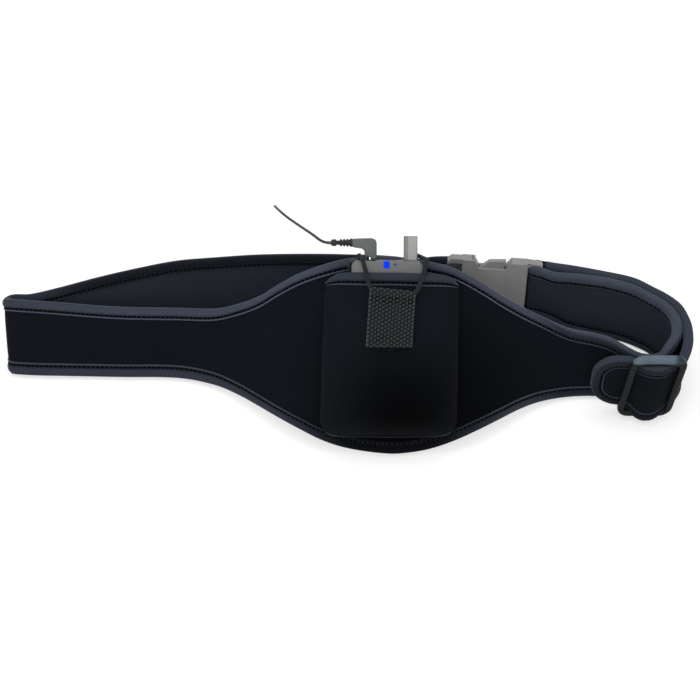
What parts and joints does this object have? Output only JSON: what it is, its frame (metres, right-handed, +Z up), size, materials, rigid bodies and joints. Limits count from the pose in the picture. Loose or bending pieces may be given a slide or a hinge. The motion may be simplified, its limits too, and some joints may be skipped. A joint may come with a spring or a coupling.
{
  "type": "body-worn transmitter belt",
  "caption": "Neoprene waist belt with a bulging front pocket holding a small transmitter under an elastic retaining loop, side-release buckle, slider and microphone cord.",
  "frame": {"origin": "on the floor at the middle of the belt ring, microphone cord not counted", "axes": "+Z up with the belt standing on its lower edges, +X along the belt from the folded end to the slider end, the pocket faces -Y"},
  "size_m": [0.465, 0.1864, 0.1187],
  "materials": {
    "neoprene": "matt, finely knitted",
    "binding": "matt, edge-rolled and stitched",
    "webbing": "coarse plain weave",
    "elastic": "satin round elastic",
    "buckle_plastic": "moulded, satin",
    "slider_plastic": "moulded, satin",
    "unit_plastic": "fine texture",
    "antenna_rubber": "matt",
    "spring_steel": "bright",
    "led_lens": "lit blue lens",
    "lamp_lens": "clear",
    "board": "solder mask",
    "cell_wrap": "wrapped",
    "contact_metal": "plated",
    "socket_plastic": "moulded",
    "plug_rubber": "satin",
    "tie_fabric": "matt",
    "mic_metal": "black anodised",
    "foam": "open-cell foam"
  },
  "bodies": {
    "belt": {"antenna_cover": "antenna_rubber", "antenna_whip": "spring_steel", "battery_cells": "cell_wrap", "battery_contacts": "contact_metal", "battery_door": "unit_plastic", "battery_springs": "spring_steel", "belt_binding_bottom": "binding", "belt_binding_top": "binding", "belt_panel": "neoprene", "buckle_socket": "buckle_plastic", "buckle_tongue": "buckle_plastic", "circuit_board": "board", "elastic_anchor": "webbing", "elastic_loop": "elastic", "front_shell": "unit_plastic", "jack_socket": "socket_plastic", "level_lamp": "lamp_lens", "pocket_binding": "binding", "pocket_panel": "neoprene", "rear_shell": "unit_plastic", "shell_screws": "spring_steel", "status_led": "led_lens", "strap_slider": "slider_plastic", "switch_body": "socket_plastic", "tail_binding": "binding", "tail_strap": "neoprene"},
    "tab": {"pull_tab": "webbing"},
    "prong_upper": {"buckle_prong_upper": "buckle_plastic"},
    "prong_lower": {"buckle_prong_lower": "buckle_plastic"},
    "switch": {"switch_knob": "unit_plastic"},
    "plug": {"plug_pin": "contact_metal", "plug_body": "plug_rubber", "plug_boot": "plug_rubber", "mic_cord": "plug_rubber", "mic_lead": "plug_rubber", "cord_coil": "plug_rubber", "coil_tie": "tie_fabric", "mic_capsule": "mic_metal", "mic_windscreen": "foam"}
  },
  "joints": [
    {"name": "tab_flip", "type": "hinge", "parent": "belt", "child": "tab", "pos_m": [0.031, -0.01756, 0.10348], "axis": [-0.9962, 0.0583, 0.0648], "range_deg": [0, 150]},
    {"name": "prong_upper_press", "type": "hinge", "parent": "belt", "child": "prong_upper", "pos_m": [0.09208, 0.06245, 0.03775], "axis": [-0.05, -0.954, 0.2957], "range_deg": [-4, 0], "stiffness_Nm_per_rad": 0.6, "springref_deg": 1.15},
    {"name": "prong_lower_press", "type": "hinge", "parent": "belt", "child": "prong_lower", "pos_m": [0.09168, 0.05477, 0.01291], "axis": [-0.05, -0.954, 0.2957], "range_deg": [0, 4], "stiffness_Nm_per_rad": 0.6, "springref_deg": -1.15},
    {"name": "switch_slide", "type": "slide", "parent": "belt", "child": "switch", "axis": [1, 0, 0], "range_m": [0, 0.003]},
    {"name": "plug_pull", "type": "slide", "parent": "belt", "child": "plug", "axis": [0, 0.6691, 0.7431], "range_m": [0, 0.014]}
  ]
}
